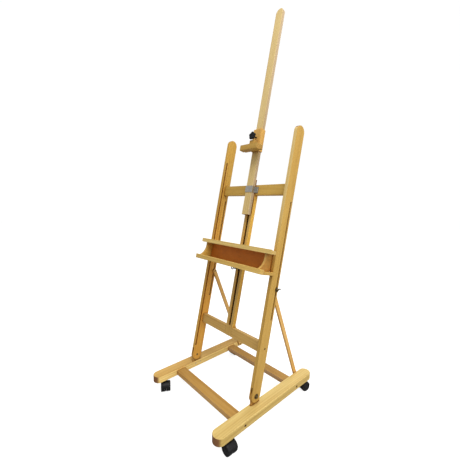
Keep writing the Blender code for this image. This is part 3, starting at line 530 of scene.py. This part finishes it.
def washer(work, matrix, radius, thick):
    turn_shell(work, matrix, [(0, 0), (radius - 0.0003, 0), (radius, 0.0003), (radius, thick - 0.0004),
                              (radius - 0.0005, thick), (0, thick)], 40)


def hexagon(radius):
    return [(radius * math.cos(math.pi / 3 * i), radius * math.sin(math.pi / 3 * i)) for i in range(6)]


def arc(centre, radius, start, end, steps):
    """Points from the angle start to the angle end, in degrees."""
    turns = [math.radians(start + (end - start) * i / steps) for i in range(steps + 1)]
    return [(centre[0] + radius * math.cos(a), centre[1] + radius * math.sin(a)) for a in turns]


def finished(name, work, finish, body, replaced=(), arris=0.0):
    """Makes the shells one piece that rides on a body and stands for the CAD nodes."""
    bmesh.ops.recalc_face_normals(work, faces=work.faces)
    mesh = bpy.data.meshes.new(name)
    work.to_mesh(mesh)
    work.free()
    mesh.shade_smooth()
    mesh.set_sharp_from_angle(angle=math.radians(38))
    mesh.materials.append(finish)
    obj = bpy.data.objects.new(name, mesh)
    bpy.context.scene.collection.objects.link(obj)
    if arris:
        soften(obj, arris, 2)
    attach(obj, body)
    if replaced:
        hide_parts(*replaced)


# ---------------------------------------------------------------- casters
def caster_plate(key, base):
    """Round plate under the rail, with the kingpin down from it."""
    top = CASTER_HEIGHT - GAP
    under = top - PLATE_THICK
    rim = [(0, top), (0.0184, top), (0.0190, top - 0.0006), (0.0190, top - 0.0019), (0.0182, under),
           (0.0150, under), (0.0142, under - 0.0003), (0.0130, under - 0.0003), (0.0122, under),
           (0.0040, under), (0.0040, KINGPIN_FOOT + 0.0008), (0.0032, KINGPIN_FOOT), (0, KINGPIN_FOOT)]
    work = bmesh.new()
    turn_shell(work, base, rim)
    finished(f"caster_{key}_swivel_plate", work, ZINC, "base", [f"caster_{key}_plate"])


def hood(work, base, hub):
    """Adds a crowned band over the wheels, bent about the hub."""
    arc_steps, width_steps = 28, 12
    half = WHEEL_OUTER - 0.001
    rows = []
    for i in range(arc_steps + 1):
        angle = math.radians(12 + 112 * i / arc_steps)
        section = []
        for j in range(width_steps + 1):
            across = 2 * j / width_steps - 1
            section.append((HOOD_RADIUS - HOOD_CROWN * across ** 4, across * half))
        section += [(HOOD_INNER, half), (HOOD_INNER, -half)]
        spots = [Vector((hub[0] + r * math.cos(angle), y, hub[1] + r * math.sin(angle))) for r, y in section]
        rows.append([work.verts.new(base @ spot) for spot in spots])
    around = len(rows[0])
    for first, second in zip(rows, rows[1:]):
        for j in range(around):
            k = (j + 1) % around
            work.faces.new([first[j], first[k], second[k], second[j]])
    work.faces.new(rows[0][::-1])
    work.faces.new(rows[-1])


def caster_fork(key, base):
    """Disc-shaped web between the wheels, kingpin boss and a crowned hood over the wheels."""
    hub = (CASTER_TRAIL, WHEEL_RADIUS)
    top = CASTER_HEIGHT - 2 * GAP - PLATE_THICK
    foot = KINGPIN_FOOT - 0.002
    web = [(-0.0055, top - 0.004), (-0.0055, foot), *arc(hub, WEB_RADIUS, 150, 380, 40),
           *arc(hub, 0.0278, 20, 118, 16), (0.0085, top - 0.004)]
    boss = [(0, top), (0.0108, top), (0.0115, top - 0.0008), (0.0115, top - 0.0060), (0.0106, top - 0.0073),
            (0.0060, top - 0.0078), (0.0060, foot + 0.0008), (0.0050, foot), (0, foot)]
    work = bmesh.new()
    plate_shell(work, base @ TO_FRONT, web, 2 * WEB_HALF)
    turn_shell(work, base, boss)
    hood(work, base, hub)
    finished(f"caster_{key}_hooded_fork", work, BLACK, f"caster_{key}_fork",
             [f"caster_{key}_housing"], 0.0005)


def caster_wheels(key, base):
    """Two dished wheels with a hub cap each, and the axle between them."""
    axle = base @ at(CASTER_TRAIL, 0, WHEEL_RADIUS) @ TO_FRONT
    inner = WEB_HALF + 0.0005
    edge = WHEEL_OUTER
    wheel = [(0, inner), (0.0030, inner), (0.0242, inner), (0.0253, inner + 0.0006),
             (WHEEL_RADIUS, inner + 0.0020), (WHEEL_RADIUS, edge - 0.0045), (0.0256, edge - 0.0027),
             (0.0247, edge - 0.0010), (0.0232, edge - 0.0002), (0.0215, edge), (0.0205, edge - 0.0003),
             (0.0196, edge - 0.0016), (0.0186, edge - 0.0026), (0.0120, edge - 0.0030), (0.0112, edge - 0.0022),
             (0.0104, edge - 0.0010), (0.0088, edge - 0.0005), (0.0045, edge - 0.0003), (0, edge - 0.0002)]
    work = bmesh.new()
    for flip in (1, -1):
        turn_shell(work, axle @ Matrix.Diagonal((1, 1, flip, 1)), wheel)
    rod(work, axle, 0.0029, inner + 0.001, -inner - 0.001)
    finished(f"caster_{key}_twin_wheels", work, WHEEL, f"caster_{key}_wheels",
             [f"caster_{key}_wheels"])


# ---------------------------------------------------------------- knobs, nuts, bolts and screws
def star_knob(name, matrix, radius, thick, neck, bolt, node_name, body):
    """Five-lobed grip with a rolled edge and a dished face, on its neck and bolt; its origin is the bolt's tip."""
    low = bolt + neck
    high = low + thick
    stem = [(0, 0), (BOLT_RADIUS * 0.8, 0), (BOLT_RADIUS, 0.0006), (BOLT_RADIUS, bolt), (0.0086, bolt),
            (0.0092, bolt + 0.0007), (0.0088, low - 0.001), (0.0092, low + 0.002), (0, low + 0.002)]
    grip = [(0, low), (radius * 0.80, low), (radius * 0.93, low + 0.0008), (radius * 0.985, low + 0.0026),
            (radius, low + thick * 0.45), (radius * 0.985, high - 0.0030), (radius * 0.94, high - 0.0012),
            (radius * 0.85, high - 0.0002), (radius * 0.74, high), (radius * 0.58, high - 0.0004),
            (radius * 0.50, high - 0.0014), (radius * 0.30, high - 0.0018), (0, high - 0.0018)]
    work = bmesh.new()
    turn_shell(work, matrix, stem, 32)
    turn_shell(work, matrix, grip, 100, 5, 0.20)
    finished(name, work, BLACK, body, [node_name])


def wing_nut(side, sign):
    """Cast nut with two flared wings, against the stud's washer."""
    base = LEANING @ at(sign * (UPRIGHT_OUTER + 2 * GAP + WASHER_THICK), SLOT_Y, HEAD_BOLT_Z) @ outward(sign)
    barrel = [(0.0032, 0), (0.0060, 0), (0.0065, 0.0006), (0.0050, 0.0082), (0.0044, 0.0090), (0.0036, 0.0090),
              (0.0032, 0.0084), (0.0032, 0)]
    wing = [(0.0040, 0.0020), (0.0066, 0.0024), (0.0096, 0.0050), (0.0126, 0.0088),
            *arc((0.0108, 0.0122), 0.0036, -30, 170, 12), (0.0058, 0.0092), (0.0040, 0.0084)]
    rear = math.pi / 2 + sign * math.radians(30)
    work = bmesh.new()
    turn_shell(work, base, barrel, 32)
    for turn in (rear, rear + math.pi):
        plate_shell(work, base @ Matrix.Rotation(turn, 4, "Z") @ TO_FRONT, wing, 0.0034)
    finished(f"wing_nut_{side}_cast", work, BRASSY, f"wing_nut_{side}", [f"wing_nut_{side}"], 0.0004)


def slot_stud(side, sign):
    """Threaded stud with its washer; the shank runs in the upright's slot."""
    base = LEANING @ at(sign * UPRIGHT_MIDDLE, SLOT_Y, HEAD_BOLT_Z) @ outward(sign)
    outer = UPRIGHT_THICK / 2 + GAP
    inner = 0.0002 - UPRIGHT_THICK / 2
    thread_start, thread_end, pitch = outer + 0.0014, outer + 0.0128, 0.0008
    shape = [(0, inner), (0.0040, inner), (0.0040, outer + 0.001)]
    height = thread_start
    while height < thread_end:
        shape += [(0.0024, height), (0.0029, height + pitch / 2)]
        height += pitch
    shape += [(0.0022, outer + 0.0135), (0, outer + 0.0135)]
    work = bmesh.new()
    washer(work, base @ at(0, 0, outer), 0.0100, WASHER_THICK)
    turn_shell(work, base, shape, 32)
    finished(f"slot_stud_{side}_threaded", work, OLIVE, f"slot_stud_{side}", [f"slot_stud_{side}"])


def foot_bolt(side, sign):
    """Pivot bolt with a washer and a domed hexagon nut outside, and its low round head inside."""
    base = at(sign * UPRIGHT_MIDDLE, PIVOT.y, PIVOT.z) @ outward(sign)
    outer = UPRIGHT_THICK / 2 + GAP
    cap = [(0, 0.0034), (0.0025, 0.0031), (0.0048, 0.0020), (0.0062, -0.001), (0, -0.001)]
    work = bmesh.new()
    washer(work, base @ at(0, 0, outer), 0.0125, WASHER_THICK)
    plate_shell(work, base @ at(0, 0, outer + 0.0042), hexagon(0.0088), 0.0054)
    turn_shell(work, base @ at(0, 0, outer + 0.0065), cap, 32)
    rod(work, base, 0.0028, outer + 0.001, -outer - 0.001)
    dome(work, base @ at(0, 0, -outer) @ UPSIDE_DOWN, 0.0056, 0.0016)
    finished(f"foot_bolt_{side}_with_nut", work, BRASSY, "base", [f"foot_bolt_{side}"], 0.0003)


def brace_bolts(side, sign):
    """Round-headed bolts at the brace's two ends, their heads on its inner face."""
    head_at = LEANING @ Vector((sign * BRACE_FOOT.x, SLOT_Y, HEAD_BOLT_Z))
    foot_at = Vector((sign * BRACE_FOOT.x, BRACE_FOOT.y, BRACE_FOOT.z))
    inner_face = -BRACE_HALF - GAP
    for end, place, body, reach in (("head", head_at, f"brace_{side}", BRACE_HALF - 0.0002),
                                    ("foot", foot_at, "base", BRACE_HALF + 0.024)):
        base = at(*place) @ outward(sign)
        work = bmesh.new()
        dome(work, base @ at(0, 0, inner_face) @ UPSIDE_DOWN, 0.0052, 0.0026)
        rod(work, base, BOLT_RADIUS, reach, inner_face)
        finished(f"brace_{end}_bolt_{side}_domed", work, BRASSY, body,
                 [f"brace_{end}_bolt_{side}"])


def sunk_screw(name, base, head, reach, node_name, body):
    """Countersunk screw with a driver recess, its face at its own origin and its tip down its Z."""
    shank = head * 0.5
    shape = [(0, -0.0022), (head * 0.22, -0.0020), (head * 0.40, -0.0002), (head * 0.95, 0), (head, -0.0004),
             (shank, -0.0042), (shank, -reach + 0.004), (0, -reach)]
    work = bmesh.new()
    turn_shell(work, base, shape, 32)
    finished(name, work, DARK, body, [node_name])


def small_screws():
    """Pan-head screws: two in each rail over the foot tongue, and two in the mast keeper's feet."""
    for side, sign in SIDES:
        work = bmesh.new()
        for y in (-0.0915, -0.0570):
            dome(work, at(sign * (RAIL_INNER - 0.0001), y, 0.0845) @ outward(-sign), 0.0034, 0.0016)
        finished(f"tongue_screws_{side}", work, ZINC, "base")
    work = bmesh.new()
    for sign in (-1, 1):
        place = at(sign * (MAST_HALF + 0.0115), POST_FRONT - GAP - 0.002, MAST_LOCK_Z)
        dome(work, LEANING @ place @ TO_FRONT, 0.0032, 0.0015)
    finished("keeper_screws", work, ZINC, "easel_frame")


# ---------------------------------------------------------------- tray lever and guides
def release_lever():
    """Bent wire with a finger ring, on a pin across the bracket."""
    ring_at = (-0.0560, TRAY_BOTTOM - 0.0112)
    route = [(POST_FRONT + 0.0037, LEVER_PIVOT.z + 0.0040), (-0.0068, LEVER_PIVOT.z + 0.0018),
             (-0.0095, LEVER_PIVOT.z + 0.0004), (-0.0120, LEVER_PIVOT.z), (LEVER_PIVOT.y, LEVER_PIVOT.z),
             (-0.0400, LEVER_PIVOT.z + 0.0002), *arc(ring_at, LEVER_RING, -8, 323, 40)]
    curve = bpy.data.curves.new("release_wire", "CURVE")
    curve.dimensions = "3D"
    curve.bevel_depth = LEVER_WIRE
    curve.bevel_resolution = 4
    curve.use_fill_caps = True
    curve.materials.append(WIRE)
    spline = curve.splines.new("POLY")
    spline.points.add(len(route) - 1)
    for point, (y, z) in zip(spline.points, route):
        point.co = (*(LEANING @ Vector((0, y, z))), 1.0)
    wire = bpy.data.objects.new("release_wire", curve)
    bpy.context.scene.collection.objects.link(wire)
    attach(wire, "tray_release")
    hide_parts("release_lever")

    pin = [(0, 0.014), (0.0012, 0.014), (0.0015, 0.0137), (0.0015, -0.0137), (0.0012, -0.014), (0, -0.014)]
    work = bmesh.new()
    turn_shell(work, LEANING @ at(*LEVER_PIVOT) @ outward(1), pin, 24)
    finished("release_pin", work, OLIVE, "tray_release")


def guide_batten(side, sign):
    """Batten behind the cheek, its tapered tongue in the upright's groove, seated between board and ledge."""
    low, high = TRAY_BOTTOM + 0.0143, LEDGE_BOTTOM - GAP
    shoulder = UPRIGHT_INNER - 0.0006
    tongue = GROOVE_FLOOR - 0.0006
    outline = [(BATTEN_INNER, low), (shoulder, low), (tongue, low + 0.006), (tongue, high - 0.006),
               (shoulder, high), (BATTEN_INNER, high)]
    work = bmesh.new()
    plate_shell(work, LEANING @ at(0, BATTEN_MIDDLE_Y, 0) @ TO_FRONT, [(sign * x, z) for x, z in outline],
                BATTEN_THICK)
    finish = wood(f"beech_guide_{side}", UP_THE_LEAN, 31 + sign, SHADED)
    finished(f"tray_guide_{side}_batten", work, finish, "tray", [f"tray_guide_{side}"], 0.0005)


for key, (sign_x, sign_y, heading) in CASTER_HEADINGS.items():
    stand = at(sign_x * CASTER_X, sign_y * CASTER_Y, 0) @ Matrix.Rotation(math.radians(heading), 4, "Z")
    caster_plate(key, stand)
    caster_fork(key, stand)
    caster_wheels(key, stand)
star_knob("clamp_star_knob", LEANING @ at(0, MAST_FRONT - BOLT_CLEAR, CLAMP_SCREW_Z) @ TO_FRONT, radius=0.0215,
          thick=0.014, neck=0.008, bolt=0.0285, node_name="clamp_knob", body="clamp_screw")
star_knob("mast_lock_star_knob", LEANING @ at(0, MAST_BACK + BOLT_CLEAR, MAST_LOCK_Z) @ TO_BACK, radius=0.020,
          thick=0.013, neck=0.007, bolt=POST_BACK + 0.0010 - MAST_BACK - BOLT_CLEAR, node_name="mast_lock_knob",
          body="mast_lock")
for side, sign in SIDES:
    wing_nut(side, sign)
    slot_stud(side, sign)
    foot_bolt(side, sign)
    brace_bolts(side, sign)
    guide_batten(side, sign)
    for row, middle in CROSSBAR_MIDDLES.items():
        rail_face = at(sign * (RAIL_OUTER - 0.002), middle, CROSSBAR_MIDDLE_Z) @ outward(sign)
        sunk_screw(f"rail_screw_{row}_{side}", rail_face, head=0.0052, reach=0.093,
                   node_name=f"crossbar_bolt_{row}_{side}", body="base")
    upright_face = at(sign * (UPRIGHT_OUTER - 0.001), (POST_FRONT + POST_BACK) / 2, STRETCHER_MIDDLE_Z)
    sunk_screw(f"upright_screw_{side}", LEANING @ upright_face @ outward(sign), head=0.0042, reach=0.050,
               node_name=f"stretcher_screw_{side}", body="easel_frame")
release_lever()
small_screws()

# ---------------------------------------------------------------- floor, light and camera
SCENE = bpy.context.scene
SCENE.view_settings.view_transform = "Standard"
WHITE = (1.0, 1.0, 1.0, 1.0)
FLOOR_REACH = 14.0
FLOOR_GLOW = 0.86           # added to the floor where the camera sees it
SKY_LIGHT = 0.60            # how strongly the surround lights the easel
SKY_GLOW = 0.42             # added to the surround where the camera sees it
CAMERA_PLACE = (1.0419, -0.9809, 1.0573)
CAMERA_YAW, CAMERA_PITCH, CAMERA_ROLL = math.radians(47.61), math.radians(7.43), math.radians(0.78)
# name, place, aim, size and power of each softbox
SOFTBOXES = (("key", (1.7, -0.55, 4.2), (0, 0, 0.9), 2.6, 120.0),
             ("side", (3.3, 0.3, 1.5), (0, 0, 0.7), 2.2, 30.0),
             ("back", (-0.8, 3.2, 3.4), (0, 0, 0.7), 1.8, 34.0))


def pale_floor():
    """Floor paint that looks brighter than it lights the easel."""
    made, tree, shader = new_material("pale_floor")
    shader.inputs["Base Color"].default_value = (0.42, 0.42, 0.42, 1.0)
    shader.inputs["Roughness"].default_value = 0.9
    shader.inputs["Specular IOR Level"].default_value = 0.0
    seen = node(tree, "ShaderNodeLightPath").outputs["Is Camera Ray"]
    glow = node(tree, "ShaderNodeEmission", None, {"Color": WHITE, "Strength": FLOOR_GLOW}).outputs[0]
    bright = node(tree, "ShaderNodeAddShader", None, {0: shader.outputs[0], 1: glow}).outputs[0]
    paint = node(tree, "ShaderNodeMixShader", None, {0: seen, 1: shader.outputs[0], 2: bright}).outputs[0]
    tree.links.new(paint, tree.nodes["Material Output"].inputs["Surface"])
    return made


def studio():
    """Pale floor and an even white surround."""
    mesh = bpy.data.meshes.new("floor")
    corners = [(-FLOOR_REACH, -FLOOR_REACH, 0), (FLOOR_REACH, -FLOOR_REACH, 0), (FLOOR_REACH, FLOOR_REACH, 0),
               (-FLOOR_REACH, FLOOR_REACH, 0)]
    mesh.from_pydata(corners, [], [(0, 1, 2, 3)])
    mesh.materials.append(pale_floor())
    floor = bpy.data.objects.new("floor", mesh)
    SCENE.collection.objects.link(floor)

    world = bpy.data.worlds.new("studio")
    world.use_nodes = True
    sky = world.node_tree
    seen = node(sky, "ShaderNodeLightPath").outputs["Is Camera Ray"]
    level = math_node(sky, "ADD", SKY_LIGHT, math_node(sky, "MULTIPLY", seen, SKY_GLOW))
    sky.nodes["Background"].inputs["Color"].default_value = WHITE
    sky.links.new(level, sky.nodes["Background"].inputs["Strength"])
    SCENE.world = world


def softbox(name, place, aim, size, power):
    light = bpy.data.lights.new(name, "AREA")
    light.shape = "DISK"
    light.size = size
    light.energy = power
    obj = bpy.data.objects.new(name, light)
    obj.location = place
    obj.rotation_euler = (Vector(aim) - Vector(place)).to_track_quat("-Z", "Y").to_euler()
    SCENE.collection.objects.link(obj)


def camera():
    """The standing viewer's place, to the front right of the easel."""
    level = math.cos(CAMERA_PITCH)
    ahead = Vector((-math.sin(CAMERA_YAW) * level, math.cos(CAMERA_YAW) * level, -math.sin(CAMERA_PITCH)))
    right = Vector((math.cos(CAMERA_YAW), math.sin(CAMERA_YAW), 0.0))
    up = right.cross(ahead)
    across = math.cos(CAMERA_ROLL) * right + math.sin(CAMERA_ROLL) * up
    above = -math.sin(CAMERA_ROLL) * right + math.cos(CAMERA_ROLL) * up
    lens = bpy.data.cameras.new("camera")
    lens.lens = 21.23
    lens.sensor_width = 36.0
    lens.shift_x = -0.0014
    lens.shift_y = 0.0173
    lens.clip_start = 0.02
    obj = bpy.data.objects.new("camera", lens)
    obj.matrix_world = Matrix.Translation(CAMERA_PLACE) @ Matrix((across, above, -ahead)).transposed().to_4x4()
    SCENE.collection.objects.link(obj)
    SCENE.camera = obj


studio()
for box in SOFTBOXES:
    softbox(*box)
camera()
